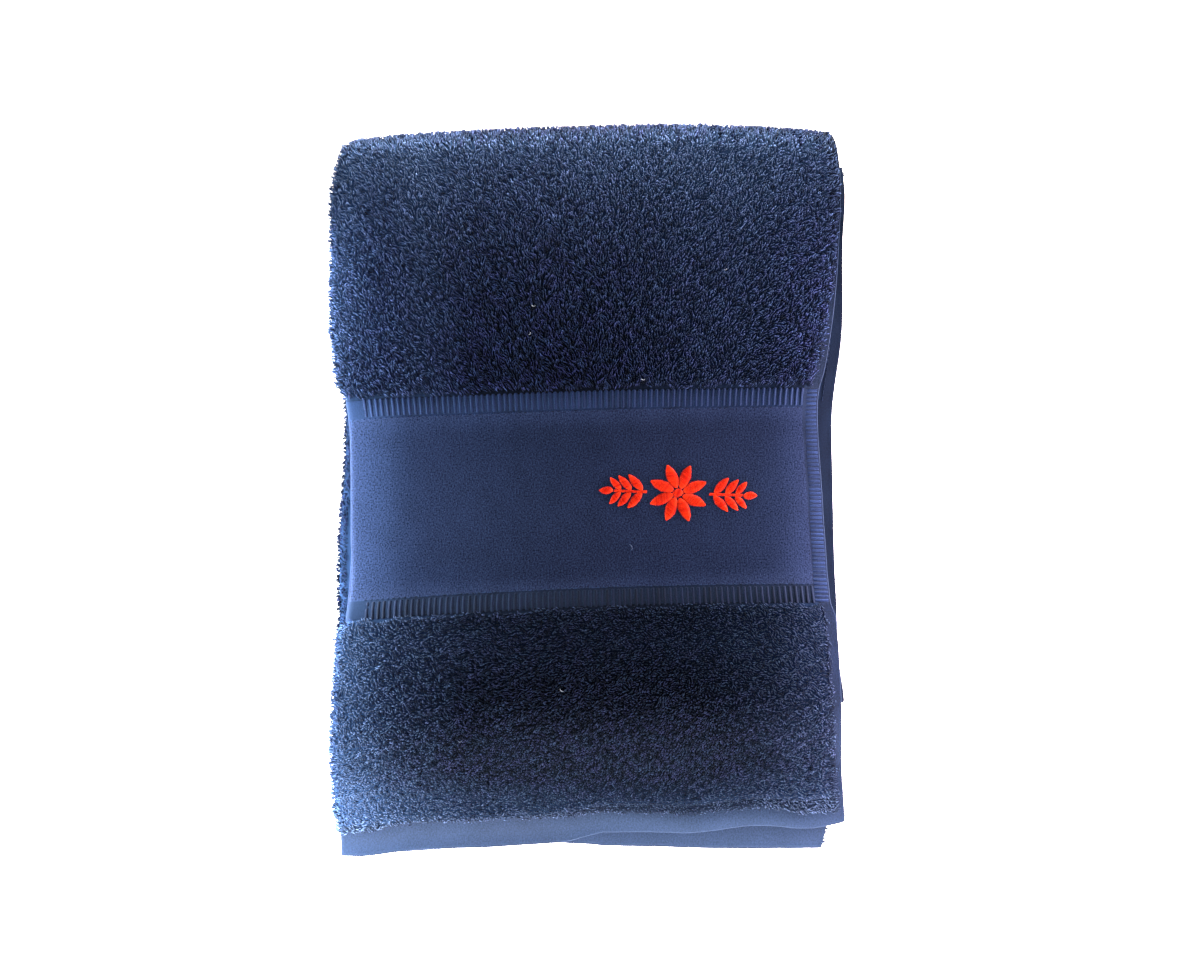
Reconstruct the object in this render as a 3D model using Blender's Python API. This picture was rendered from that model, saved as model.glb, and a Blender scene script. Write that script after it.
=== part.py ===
"""Hand towel of terry cloth, lying folded.

The towel is one woven piece, about 500 mm wide and 918 mm long. It is folded in half along its
length, so that the fold is on the left and the two selvedges are on the right. Then it is folded
in three across its length: the front flap comes down over the rest and reaches past it to the
ground, and the other end is tucked in under the flap.

A point of the cloth is found in three steps. The path gives where the middle between the two
halves runs, seen from the side. The outline gives how far the cloth reaches to the left and to
the right there, and how much it lies askew. The settling then lowers the heap where its cloth is
thin.

Sizes are in millimetres until the last step. +Z is up, +Y is towards the upper fold, and the
origin is at the middle of the footprint, on the ground.
"""
import math

import bmesh
import bpy
import numpy as np

# Where the weave changes, counted from either end of the towel, and from its long edges.
END_HEM = 14.0
BAND_START = 118.0
BAND_END = 222.0
SIDE_HEM = 6.0

# Thickness of the cloth, with its pile, and the air between two layers.
TERRY = 4.0
BAND = 1.9
HEM = 2.0
AIR = 0.5
WEAVE_CHANGE = 3.0

# The stack: six layers, in three pairs.
PITCH = TERRY + AIR
HALF_PITCH = PITCH / 2
LOWEST_PAIR = TERRY + AIR / 2
STACK = 6 * TERRY + 5 * AIR

# Lines across the towel that set its folds, along Y.
FLAP_EDGE_Y = -171.5
FLAP_FOOT_Y = -154.0
FLAP_TOP_Y = -101.0
LOWER_FOLD_Y = -100.65
UPPER_FOLD_Y = 169.5
TUCKED_EDGE_Y = 160.5
UPPER_FOLD_RADIUS = 2 * PITCH
LOWER_FOLD_RADIUS = PITCH
FLAP_DROP = 4 * PITCH

# Outline of the folded towel, a row for each place along the cloth. The skews say how far the
# cloth's left and right edges lie towards +Y of its middle.
OUTLINE_COLUMNS = ("along", "left", "right outer", "right inner", "skew left", "skew right")
OUTLINE = (
    (0, -118.3, 126.0, 115.6, -6.5, 8.5),      # hem of the flap
    (18, -122.9, 124.8, 119.5, -6.5, 7.0),     # foot of the flap
    (75, -121.0, 121.7, 120.0, -7.5, 5.0),     # top of the flap's slope
    (104, -119.6, 119.6, 118.0, -7.5, 3.0),    # terry below the band
    (121, -115.6, 117.2, 115.5, -7.5, 2.0),    # band begins
    (170, -114.6, 114.6, 113.0, -6.0, 2.0),    # middle of the band
    (217, -117.4, 112.7, 111.5, -4.7, 2.0),    # band ends
    (245, -124.2, 118.6, 117.0, -4.8, 1.5),    # terry above the band
    (295, -126.0, 124.2, 122.5, -6.0, -0.5),   # upper terry
    (345, -124.0, 124.0, 122.5, -8.0, -2.7),   # upper fold begins
    (359, -119.4, 121.5, 120.0, -8.0, -2.4),   # upper fold, outermost
    (373, -123.0, 122.5, 121.5, -8.0, -2.7),   # upper fold ends
    (430, -124.5, 121.5, 120.5, -6.0, -1.0),   # back, upper part
    (520, -121.8, 120.5, 119.5, -5.0, 0.5),    # back, middle
    (600, -123.8, 122.0, 121.0, -5.0, 3.0),    # back, lower part
    (643, -122.0, 123.2, 122.2, -5.0, 4.0),    # lower fold begins
    (650, -119.5, 121.4, 120.4, -5.0, 4.0),    # lower fold, outermost
    (657, -121.5, 123.4, 122.4, -5.0, 4.0),    # lower fold ends
    (695, -117.5, 121.2, 119.8, -5.0, 3.0),    # tucked part, band begins
    (760, -115.0, 120.2, 119.0, -5.0, 2.0),    # tucked part, band
    (798, -117.0, 121.0, 119.5, -5.0, 2.0),    # tucked part, band ends
    (836, -121.5, 126.4, 124.5, -6.0, 2.0),    # tucked part, terry
    (905, -122.0, 129.4, 127.5, -8.0, 1.5),    # tucked part, near its hem
    (918, -120.5, 128.4, 126.5, -8.0, 1.5),    # tucked hem
)
HALF_SPAN = 125.0

# The flap's under half has slipped down, more and more towards the right, and the edge of its
# upper half is wavy.
SLIP, SLIP_FROM, SLIP_TO = 11.0, -18.0, 115.0
RIPPLE, RIPPLE_LENGTH, RIPPLE_REACH = 1.1, 96.0, 60.0

# How the heap settles: over the thin bands, over the thin side hems, and a little everywhere.
HEM_SPACING = 1.25
BAND_SINK, BAND_SLOPE, BAND_SKEW = 0.30, 18.0, 4.5
BAND_LOW_Y, BAND_HIGH_Y = -60.0, 48.0
RIGHT_DROP, RIGHT_DROP_FROM, RIGHT_DROP_TO = 0.20, 92.0, 126.0
LEFT_DROP, LEFT_DROP_FROM, LEFT_DROP_TO = 0.10, -88.0, -124.0
BAND_LEFT_DROP = 0.16
SWELL = 0.9

# Middle of the folded towel's footprint, which becomes the origin.
MIDDLE_X, MIDDLE_Y = 1.68, 2.66

# Where the sheet has its rows and columns of points: closer together where the cloth bends.
# All layers share them, so that they bend alike.
FLAP_ROWS = (-171.5, -165, -159, -156, -151, -144, -136, -127, -118, -110, -104, -98)
STACK_ROWS = (-90, -74, -63, -59, -56, -50, -43, -36, -15, 10, 28, 36, 42, 46, 49, 54, 64, 82,
              104, 126, 146)
BACK_ROWS = (150, 126, 104, 82, 54, 28, 0, -30, -59, -82)
COLUMNS_AT = (100.0, 82.0, 56.0, 26.0, -6.0, -38.0, -70.0, -98.0)
TURN_STEPS = 5
UPPER_FOLD_ROWS, LOWER_FOLD_ROWS = 9, 7
PATH_STEP = 0.5


def ramp(value):
    """Smooth step from 0 to 1."""
    value = np.clip(value, 0.0, 1.0)
    return value * value * (3 - 2 * value)


class Path:
    """Side view of the middle between the two halves, from the flap's hem to the tucked hem."""

    def __init__(self):
        self.run = np.arange(FLAP_EDGE_Y, UPPER_FOLD_Y + PATH_STEP / 2, PATH_STEP)
        self.lift = FLAP_DROP * ramp((self.run - FLAP_FOOT_Y) / (FLAP_TOP_Y - FLAP_FOOT_Y))
        steps = np.hypot(np.diff(self.run), np.diff(self.lift))
        self.length = np.concatenate([[0.0], np.cumsum(steps)])
        self.upper_start = self.length[-1]
        self.upper_end = self.upper_start + math.pi * UPPER_FOLD_RADIUS
        self.lower_start = self.upper_end + UPPER_FOLD_Y - LOWER_FOLD_Y
        self.lower_end = self.lower_start + math.pi * LOWER_FOLD_RADIUS
        self.total = self.lower_end + TUCKED_EDGE_Y - LOWER_FOLD_Y

    def along_flap(self, y):
        """Distance along the cloth at a place in the flap or the front."""
        return float(np.interp(y, self.run, self.length))

    def along_back(self, y):
        """Distance along the cloth at a place in the back."""
        return self.upper_end + UPPER_FOLD_Y - y

    def along_tucked(self, y):
        """Distance along the cloth at a place in the tucked part."""
        return self.lower_end + y - LOWER_FOLD_Y

    def point(self, along):
        """Y, Z and the outward normal's Y and Z at a distance along the cloth. In the flap and
        the front, Z is how far the cloth is lifted from where it would lie on the ground."""
        if along < self.upper_start:
            y = np.interp(along, self.length, self.run) + min(along, 0.0)
            ahead = np.interp(y + PATH_STEP, self.run, self.lift)
            behind = np.interp(y - PATH_STEP, self.run, self.lift)
            slope = (ahead - behind) / (2 * PATH_STEP)
            size = math.hypot(1.0, slope)
            return y, np.interp(y, self.run, self.lift), -slope / size, 1.0 / size
        if along < self.upper_end:
            turn = (along - self.upper_start) / UPPER_FOLD_RADIUS
            ahead, out = math.sin(turn), math.cos(turn)
            middle = LOWEST_PAIR + UPPER_FOLD_RADIUS
            return (UPPER_FOLD_Y + UPPER_FOLD_RADIUS * ahead, middle + UPPER_FOLD_RADIUS * out,
                    ahead, out)
        if along < self.lower_start:
            return UPPER_FOLD_Y - (along - self.upper_end), LOWEST_PAIR, 0.0, -1.0
        if along < self.lower_end:
            turn = (along - self.lower_start) / LOWER_FOLD_RADIUS
            ahead, out = -math.sin(turn), -math.cos(turn)
            middle = LOWEST_PAIR + LOWER_FOLD_RADIUS
            return (LOWER_FOLD_Y + LOWER_FOLD_RADIUS * ahead, middle + LOWER_FOLD_RADIUS * out,
                    ahead, out)
        return (LOWER_FOLD_Y + along - self.lower_end, LOWEST_PAIR + 2 * LOWER_FOLD_RADIUS,
                0.0, 1.0)


def outline(along):
    """Row of the outline at a distance along the cloth, by smooth curves through the rows."""
    table = np.array(OUTLINE)
    knots, values = table[:, 0], table[:, 1:]
    slopes = np.gradient(values, knots, axis=0)
    low = int(np.clip(np.searchsorted(knots, along) - 1, 0, len(knots) - 2))
    span = knots[low + 1] - knots[low]
    t = np.clip((along - knots[low]) / span, 0.0, 1.0)
    row = ((2 * t ** 3 - 3 * t ** 2 + 1) * values[low]
           + (t ** 3 - 2 * t ** 2 + t) * span * slopes[low]
           + (3 * t ** 2 - 2 * t ** 3) * values[low + 1]
           + (t ** 3 - t ** 2) * span * slopes[low + 1])
    return dict(zip(OUTLINE_COLUMNS[1:], row))


def from_end(along, path):
    """Distance to the nearer end of the towel."""
    return min(along, path.total - along)


def past(end, line):
    """0 before a line across the towel and 1 past it, where the weave changes."""
    return ramp((end - line) / WEAVE_CHANGE + 0.5)


def thickness(along, path):
    """Thickness of the cloth with its pile, away from the side hems."""
    end = from_end(along, path)
    in_band = past(end, BAND_START) - past(end, BAND_END)
    return HEM + (TERRY - HEM) * past(end, END_HEM) - (TERRY - BAND) * in_band


def slip(x):
    """How far the flap's under half has slipped down below its upper half."""
    return SLIP * np.clip((x - SLIP_FROM) / (SLIP_TO - SLIP_FROM), 0.0, 1.0)


def spacing(along, x, path):
    """Half the distance between the two halves, which come together at the end hems."""
    beyond = slip(x) if along < path.upper_start else 0.0
    open_up = ramp((from_end(along, path) - 3.0 + beyond) / 12.0)
    return HEM_SPACING + (HALF_PITCH - HEM_SPACING) * open_up


def settle(x, y, z):
    """Height of a point once the heap has settled. It rises steadily with z, so that the layers
    keep their order."""
    level_y = y - BAND_SKEW * x / HALF_SPAN
    over_band = (ramp((level_y - BAND_LOW_Y) / BAND_SLOPE)
                 - ramp((level_y - BAND_HIGH_Y) / BAND_SLOPE + 1.0))
    back_top = 2 * PITCH
    if z > back_top:
        z = back_top + (z - back_top) * (1 - BAND_SINK * over_band)
    right = ramp((x - RIGHT_DROP_FROM) / (RIGHT_DROP_TO - RIGHT_DROP_FROM))
    left = ramp((x - LEFT_DROP_FROM) / (LEFT_DROP_TO - LEFT_DROP_FROM))
    swell = SWELL * (math.sin(x / 31.0 + y / 74.0 + 0.6) * math.sin(y / 43.0 - x / 90.0)
                     + 0.6 * math.sin(x / 19.0 - y / 57.0 + 2.1))
    return z * (1 - RIGHT_DROP * right - (LEFT_DROP + BAND_LEFT_DROP * over_band) * left
                + swell / STACK)


def place(path, along, x, depth, inner):
    """Point of the towel, in metres. x is where it lies from left to right, and depth is its
    distance outwards from the middle between the two halves."""
    across = x / HALF_SPAN
    in_front = along < path.upper_start
    where = along
    if in_front and inner:
        where -= slip(x) * (1 - along / path.upper_start)
    elif in_front:
        where += (RIPPLE * math.sin(math.tau * x / RIPPLE_LENGTH)
                  * ramp((across + 1) / 0.3) * (1 - ramp(along / RIPPLE_REACH)))
    y, z, normal_y, normal_z = path.point(where)
    if in_front:
        z += spacing(along, x, path) + thickness(along, path) / 2
    edges = outline(where)
    y += edges["skew left"] * (across * across - across) / 2
    y += edges["skew right"] * (across * across + across) / 2
    y += normal_y * depth
    z = settle(x, y, z + normal_z * depth)
    return (x - MIDDLE_X) / 1000, (y - MIDDLE_Y) / 1000, z / 1000


def columns():
    """Places across the cloth, from the upper selvedge round the fold to the lower one. Each is
    a kind, its value and the turn of the fold there."""
    flat = [("from selvedge", distance) for distance in (0.0, SIDE_HEM - 1.0, SIDE_HEM + 1.5)]
    flat += [("at", x) for x in COLUMNS_AT]
    outer = [(kind, value, 0.0) for kind, value in flat]
    turn = [("fold", 0.0, math.pi * step / TURN_STEPS) for step in range(TURN_STEPS + 1)]
    inner = [(kind, value, math.pi) for kind, value in reversed(flat)]
    return outer + turn + inner


def rows(path):
    """Distances along the cloth at which the sheet has a row of points."""
    flap = [path.along_flap(y) for y in FLAP_ROWS + STACK_ROWS + (162,)]
    upper = list(np.linspace(path.upper_start, path.upper_end, UPPER_FOLD_ROWS))
    back = [path.along_back(y) for y in BACK_ROWS]
    lower = list(np.linspace(path.lower_start, path.lower_end, LOWER_FOLD_ROWS))
    tucked = [path.along_tucked(y) for y in STACK_ROWS + (152, TUCKED_EDGE_Y)]
    return flap + upper + back + lower + tucked


def cloth_point(path, along, column, face):
    """Point on the outside (face 1) or the inside (face -1) of the cloth at one grid place."""
    kind, value, turn = column
    inner = turn > math.pi / 2
    edges = outline(along)
    cloth = thickness(along, path)
    if kind == "from selvedge":
        x = edges["right inner" if inner else "right outer"] - value
        if value < SIDE_HEM:
            cloth = min(cloth, HEM)
    elif kind == "at":
        x = value
    else:
        x = edges["left"] + spacing(along, edges["left"], path) + cloth / 2
    reach = spacing(along, x, path) + face * cloth / 2
    return place(path, along, x - reach * math.sin(turn), reach * math.cos(turn), inner)


def build_cloth(path):
    """Closed sheet of cloth: a grid for each face, joined at their rims."""
    mesh = bmesh.new()
    grid_columns, grid_rows = columns(), rows(path)
    outside, inside = [[[mesh.verts.new(cloth_point(path, along, column, face))
                         for column in grid_columns] for along in grid_rows] for face in (1, -1)]
    last_row, last_column = len(grid_rows) - 1, len(grid_columns) - 1
    for row in range(last_row):
        for grid in (outside, inside):
            for column in range(last_column):
                mesh.faces.new([grid[row][column], grid[row + 1][column],
                                grid[row + 1][column + 1], grid[row][column + 1]])
        for column in (0, last_column):
            mesh.faces.new([outside[row][column], outside[row + 1][column],
                            inside[row + 1][column], inside[row][column]])
    for row in (0, last_row):
        for column in range(last_column):
            mesh.faces.new([outside[row][column], outside[row][column + 1],
                            inside[row][column + 1], inside[row][column]])
    bmesh.ops.triangulate(mesh, faces=mesh.faces[:])
    bmesh.ops.recalc_face_normals(mesh, faces=mesh.faces[:])
    return mesh


def terry_material():
    """Navy cotton terry: dull, with a soft sheen from its loops."""
    material = bpy.data.materials.new("terry_cotton")
    material.use_nodes = True
    shader = material.node_tree.nodes["Principled BSDF"]
    shader.inputs["Base Color"].default_value = (0.012, 0.018, 0.065, 1.0)
    shader.inputs["Roughness"].default_value = 0.95
    shader.inputs["Metallic"].default_value = 0.0
    shader.inputs["Sheen Weight"].default_value = 0.4
    return material


def clear_scene():
    """Remove whatever the open file holds."""
    for item in list(bpy.data.objects):
        bpy.data.objects.remove(item, do_unlink=True)


def main():
    """Model the folded towel."""
    clear_scene()
    path = Path()
    cloth = build_cloth(path)
    data = bpy.data.meshes.new("towel")
    cloth.to_mesh(data)
    cloth.free()
    data.materials.append(terry_material())
    data.shade_smooth()
    data.set_sharp_from_angle(angle=math.radians(50))
    bpy.context.collection.objects.link(bpy.data.objects.new("towel", data))
    print("towel cut", round(path.total, 1), "mm long,", len(data.polygons), "triangles")


main()
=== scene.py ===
import math

import bmesh
import bpy
import numpy as np
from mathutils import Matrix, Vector


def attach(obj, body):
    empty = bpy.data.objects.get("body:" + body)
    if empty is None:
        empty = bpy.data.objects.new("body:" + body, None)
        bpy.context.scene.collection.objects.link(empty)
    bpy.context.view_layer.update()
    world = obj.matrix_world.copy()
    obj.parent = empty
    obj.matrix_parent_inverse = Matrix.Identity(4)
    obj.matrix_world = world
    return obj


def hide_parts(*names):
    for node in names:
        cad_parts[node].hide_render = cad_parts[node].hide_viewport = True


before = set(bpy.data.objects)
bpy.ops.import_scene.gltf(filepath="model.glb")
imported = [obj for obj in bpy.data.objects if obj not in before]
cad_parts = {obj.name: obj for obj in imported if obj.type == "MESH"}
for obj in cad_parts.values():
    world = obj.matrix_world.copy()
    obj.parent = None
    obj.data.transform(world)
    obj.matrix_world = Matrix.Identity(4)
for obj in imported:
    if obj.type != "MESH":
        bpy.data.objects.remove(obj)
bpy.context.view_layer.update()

# Sizes are in mm, and become metres in foldedPoint. A place on the cloth is given by along, its
# distance from the flap's end, by across, its distance from the lengthwise fold, which is
# negative on the upper half, and by depth, outwards from the middle of the cloth's thickness.
woven = {
    "halfWidth": 250.0, "endHem": 14.0, "sideHem": 6.0,
    "bandStart": 118.0,  # the band lies between these distances from either end
    "bandEnd": 222.0,
    "border": 9.2,  # the ribbed border along both edges of the band
    "weaveChange": 3.0,
    "terryThick": 4.0,  # with the pile of both faces
    "bandThick": 1.9, "hemThick": 2.0,
    "groundThick": 1.3,  # the weave that the pile stands on
    "air": 0.5,  # between two layers
}

# How it is folded: the flap's end, the places where it bends, and the tucked end, along Y.
folds = {
    "flapEdgeY": -171.5, "flapFootY": -154.0, "flapTopY": -101.0, "lowerFoldY": -100.65,
    "upperFoldY": 169.5, "tuckedEdgeY": 160.5,
    "turnHalf": 4.0,  # half the cloth's length round the lengthwise fold
    "waveReach": 60.0,  # how far up the flap the waves of its edge go
    "hemSpacing": 1.25,  # half the distance between the two layers of the hem
    "hemOpening": (3.0, 12.0),  # from where and over how far its layers part
    "halfSpan": 125.0, "middleX": 1.68, "middleY": 2.66, "pathStep": 0.5,
}

# The waves of the flap's edge, x and how far up it lies there, and how far down the flap's under
# half has slipped.
flapWaves = np.array((
    (-123.5, 2.2), (-121.5, 0.4), (-113.7, 0.1), (-108.7, -0.8), (-98.7, 0.2), (-88.7, 1.0),
    (-78.7, 1.2), (-68.7, 0.6), (-48.7, -0.1), (-14.7, -0.1), (-8.7, 0.5), (1.3, 2.4), (8.0, 3.7),
    (19.3, 3.1), (31.3, 2.4), (49.3, 0.9), (59.3, 1.1), (68.3, 2.2), (81.0, 3.0), (96.3, 1.6),
    (106.3, -0.4), (116.3, 0.3), (122.3, 1.1), (128.3, 2.5)))
underSlip = np.array((
    (-20.0, 0.0), (1.3, 2.3), (9.3, 3.6), (36.3, 5.6), (56.3, 7.5), (76.3, 8.8), (115.0, 10.8)))

# How the heap has settled over the thin band and the side hems.
settled = {
    "bandSink": 0.30, "bandSlope": 18.0, "bandSkew": 4.5, "bandLowY": -60.0, "bandHighY": 48.0,
    "rightDrop": (0.20, 92.0, 126.0), "leftDrop": (0.10, -88.0, -124.0), "bandLeftDrop": 0.16,
    "swell": 0.9,
    "waves": (31.0, 74.0, 0.6, 43.0, 90.0),  # of the swell: mm over x and y, a phase, mm over y and x
    "ripples": (0.6, 19.0, 57.0, 2.1),  # on it: their share, mm over x and y, and a phase
}

# Outline of the folded towel: along, left, right of the upper half, right of the under half,
# and how far the left and the right edge lie towards +Y of the middle.
outlineRows = np.array((
    (0, -120.8, 126.0, 114.8, -8.2, 7.2),  # edge of the flap
    (12, -121.8, 125.4, 118.0, -7.4, 7.0),
    (19, -124.4, 124.9, 119.5, -6.8, 6.8),  # its foot
    (27, -124.9, 124.4, 119.8, -6.9, 6.6),
    (75, -123.4, 121.9, 121.0, -7.5, 5.0),  # its top
    (104, -121.9, 120.4, 119.0, -7.5, 3.0),
    (113, -120.8, 119.3, 118.0, -7.5, 2.4),
    (117, -116.7, 117.6, 116.5, -7.5, 2.1),  # band
    (120, -116.1, 117.3, 116.2, -7.4, 2.0),
    (128, -115.6, 116.9, 115.6, -7.3, 2.0),
    (142, -115.2, 116.2, 114.9, -6.9, 2.0),
    (156, -115.9, 115.3, 114.0, -6.5, 2.0),
    (170, -116.1, 114.6, 113.2, -6.0, 2.0),
    (212, -117.4, 112.7, 111.5, -4.8, 2.0),
    (219, -117.8, 112.8, 111.6, -4.7, 2.0),
    (223, -119.0, 113.3, 111.9, -4.7, 2.0),  # upper terry
    (229, -122.6, 115.2, 113.8, -4.7, 1.8),
    (245, -125.4, 118.4, 117.0, -4.8, 1.5),
    (295, -127.2, 123.8, 122.1, -6.0, -0.5),
    (345, -124.4, 124.0, 122.5, -7.6, -2.7),  # upper fold
    (359, -119.4, 121.5, 120.0, -8.0, -2.4),
    (373, -123.0, 122.5, 121.5, -8.0, -2.7),  # back
    (430, -124.5, 121.5, 120.5, -6.0, -1.0),
    (520, -122.6, 120.5, 119.5, -5.0, 0.5),
    (562, -124.8, 121.0, 120.0, -5.0, 1.7),
    (600, -124.2, 121.5, 120.5, -5.0, 3.0),
    (643, -122.4, 124.4, 122.3, -5.0, 4.0),  # lower fold
    (650, -120.0, 125.8, 123.6, -5.0, 4.0),
    (657, -122.0, 124.4, 122.2, -5.0, 4.0),  # tucked part
    (674, -120.4, 122.4, 120.3, -5.0, 3.6),
    (695, -118.5, 121.8, 119.8, -5.0, 3.0),
    (760, -116.0, 120.8, 119.4, -5.0, 2.0),
    (798, -117.0, 121.2, 119.7, -5.0, 2.0),
    (832, -121.0, 126.0, 124.2, -6.0, 2.0),
    (880, -122.0, 127.2, 125.4, -7.0, 1.7),
    (905, -122.0, 128.6, 126.8, -8.0, 1.5),
    (918, -120.5, 127.9, 126.0, -8.0, 1.5),  # its hem
))

pitch = woven["terryThick"] + woven["air"]
halfPitch = pitch / 2
lowestPair = woven["terryThick"] + woven["air"] / 2
stackHeight = 6 * woven["terryThick"] + 5 * woven["air"]


def ramp(value):
    value = np.clip(value, 0.0, 1.0)
    return value * value * (3 - 2 * value)


def measurePath():
    # the towel seen from the side, from the flap's end to the tucked end
    run = np.arange(folds["flapEdgeY"], folds["upperFoldY"] + folds["pathStep"] / 2, folds["pathStep"])
    slopeRun = folds["flapTopY"] - folds["flapFootY"]
    lift = 4 * pitch * ramp((run - folds["flapFootY"]) / slopeRun)
    length = np.concatenate([[0.0], np.cumsum(np.hypot(np.diff(run), np.diff(lift)))])
    upperStart = length[-1]
    upperEnd = upperStart + math.pi * 2 * pitch
    lowerStart = upperEnd + folds["upperFoldY"] - folds["lowerFoldY"]
    lowerEnd = lowerStart + math.pi * pitch
    total = lowerEnd + folds["tuckedEdgeY"] - folds["lowerFoldY"]
    return {"run": run, "lift": lift, "length": length, "upperStart": upperStart, "upperEnd": upperEnd,
            "lowerStart": lowerStart, "lowerEnd": lowerEnd, "total": total}


path = measurePath()


def sideView(along):
    # y, z and the outward normal's y and z
    step = folds["pathStep"]
    frontY = np.interp(along, path["length"], path["run"]) + np.minimum(along, 0.0)
    slope = (np.interp(frontY + step, path["run"], path["lift"])
             - np.interp(frontY - step, path["run"], path["lift"])) / (2 * step)
    size = np.hypot(1.0, slope)
    upperTurn = (along - path["upperStart"]) / (2 * pitch)
    lowerTurn = (along - path["lowerStart"]) / pitch
    upperSin, upperCos = np.sin(upperTurn), np.cos(upperTurn)
    lowerSin, lowerCos = np.sin(lowerTurn), np.cos(lowerTurn)
    parts = [along < path[end] for end in ("upperStart", "upperEnd", "lowerStart", "lowerEnd")]
    flat = np.zeros_like(along)
    y = np.select(parts, [frontY, folds["upperFoldY"] + 2 * pitch * upperSin,
                          folds["upperFoldY"] - (along - path["upperEnd"]),
                          folds["lowerFoldY"] - pitch * lowerSin],
                  folds["lowerFoldY"] + along - path["lowerEnd"])
    z = np.select(parts, [np.interp(frontY, path["run"], path["lift"]),
                          lowestPair + 2 * pitch * (1 + upperCos), flat + lowestPair,
                          lowestPair + pitch * (1 - lowerCos)], lowestPair + 2 * pitch)
    normalY = np.select(parts, [-slope / size, upperSin, flat, -lowerSin], 0.0)
    normalZ = np.select(parts, [1 / size, upperCos, flat - 1.0, -lowerCos], 1.0)
    return y, z, normalY, normalZ


def outline(along):
    # smooth curves through the rows
    knots, values = outlineRows[:, 0], outlineRows[:, 1:]
    slopes = np.gradient(values, knots, axis=0)
    low = np.clip(np.searchsorted(knots, along) - 1, 0, len(knots) - 2)
    span = (knots[low + 1] - knots[low])[:, None]
    t = np.clip((along - knots[low])[:, None] / span, 0.0, 1.0)
    rows = ((2 * t ** 3 - 3 * t ** 2 + 1) * values[low] + (t ** 3 - 2 * t ** 2 + t) * span * slopes[low]
            + (3 * t ** 2 - 2 * t ** 3) * values[low + 1] + (t ** 3 - t ** 2) * span * slopes[low + 1])
    return rows.T


def fromEnd(along):
    return np.minimum(along, path["total"] - along)


def bandDepth(end):
    # how far inside the band, negative outside it
    return np.minimum(end - woven["bandStart"], woven["bandEnd"] - end)


def past(end, line):
    return ramp((end - line) / woven["weaveChange"] + 0.5)


def thickness(along, terry):
    # of the cloth, where its terry has that thickness
    end = fromEnd(along)
    inBand = past(end, woven["bandStart"]) - past(end, woven["bandEnd"])
    return (woven["hemThick"] + (terry - woven["hemThick"]) * past(end, woven["endHem"])
            - (terry - woven["bandThick"]) * inBand)


def slipAt(x):
    return np.interp(x, *underSlip.T)


def waveAt(x):
    # rounded between the places of the table
    places, rises = flapWaves.T
    low = np.clip(np.searchsorted(places, x) - 1, 0, len(places) - 2)
    share = ramp((x - places[low]) / (places[low + 1] - places[low]))
    return rises[low] + (rises[low + 1] - rises[low]) * share


def spacing(along, x):
    # half the distance between the two halves of the cloth
    beyond = np.where(along < path["upperStart"], slipAt(x), 0.0)
    start, reach = folds["hemOpening"]
    openUp = ramp((fromEnd(along) - start + beyond) / reach)
    return folds["hemSpacing"] + (halfPitch - folds["hemSpacing"]) * openUp


def settle(x, y, z):
    levelY = y - settled["bandSkew"] * x / folds["halfSpan"]
    overBand = (ramp((levelY - settled["bandLowY"]) / settled["bandSlope"])
                - ramp((levelY - settled["bandHighY"]) / settled["bandSlope"] + 1.0))
    backTop = 2 * pitch
    z = np.where(z > backTop, backTop + (z - backTop) * (1 - settled["bandSink"] * overBand), z)
    rightDrop, rightFrom, rightTo = settled["rightDrop"]
    leftDrop, leftFrom, leftTo = settled["leftDrop"]
    right = ramp((x - rightFrom) / (rightTo - rightFrom))
    left = ramp((x - leftFrom) / (leftTo - leftFrom))
    longX, longY, phase, crossY, crossX = settled["waves"]
    share, shortX, shortY, shortPhase = settled["ripples"]
    waves = np.sin(x / longX + y / longY + phase) * np.sin(y / crossY - x / crossX)
    swell = settled["swell"] * (waves + share * np.sin(x / shortX - y / shortY + shortPhase))
    return z * (1 - rightDrop * right - (leftDrop + settled["bandLeftDrop"] * overBand) * left
                + swell / stackHeight)


def foldedPoint(along, across, depth):
    # point in metres of a place on the cloth
    along, across, depth = np.broadcast_arrays(*(np.asarray(v, float) for v in (along, across, depth)))
    left, rightOuter, rightInner = outline(along.ravel())[:3].reshape(3, *along.shape)
    turnHalf = folds["turnHalf"]
    turn = math.pi * np.clip((across + turnHalf) / (2 * turnHalf), 0.0, 1.0)
    inner = turn > math.pi / 2
    foldX = left + spacing(along, left) + thickness(along, woven["terryThick"]) / 2
    share = np.maximum(np.abs(across) - turnHalf, 0.0) / (woven["halfWidth"] - turnHalf)
    x = foldX + (np.where(inner, rightInner, rightOuter) - foldX) * share
    reach = spacing(along, x) + depth
    x, depth = x - reach * np.sin(turn), reach * np.cos(turn)
    inFront = along < path["upperStart"]
    waveHere = waveAt(x) * (1 - ramp(along / folds["waveReach"]))
    slipHere = slipAt(x) * (1 - along / path["upperStart"])
    where = along + np.where(inFront, np.where(inner, -slipHere, waveHere), 0.0)
    y, z, normalY, normalZ = sideView(where)
    z = z + np.where(inFront, spacing(along, x) + thickness(along, woven["terryThick"]) / 2, 0.0)
    skewLeft, skewRight = outline(where.ravel())[3:].reshape(2, *where.shape)
    lean = x / folds["halfSpan"]
    y = y + skewLeft * (lean * lean - lean) / 2 + skewRight * (lean * lean + lean) / 2 + normalY * depth
    z = settle(x, y, z + normalZ * depth)
    return np.stack([x - folds["middleX"], y - folds["middleY"], z], axis=-1) / 1000


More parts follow.
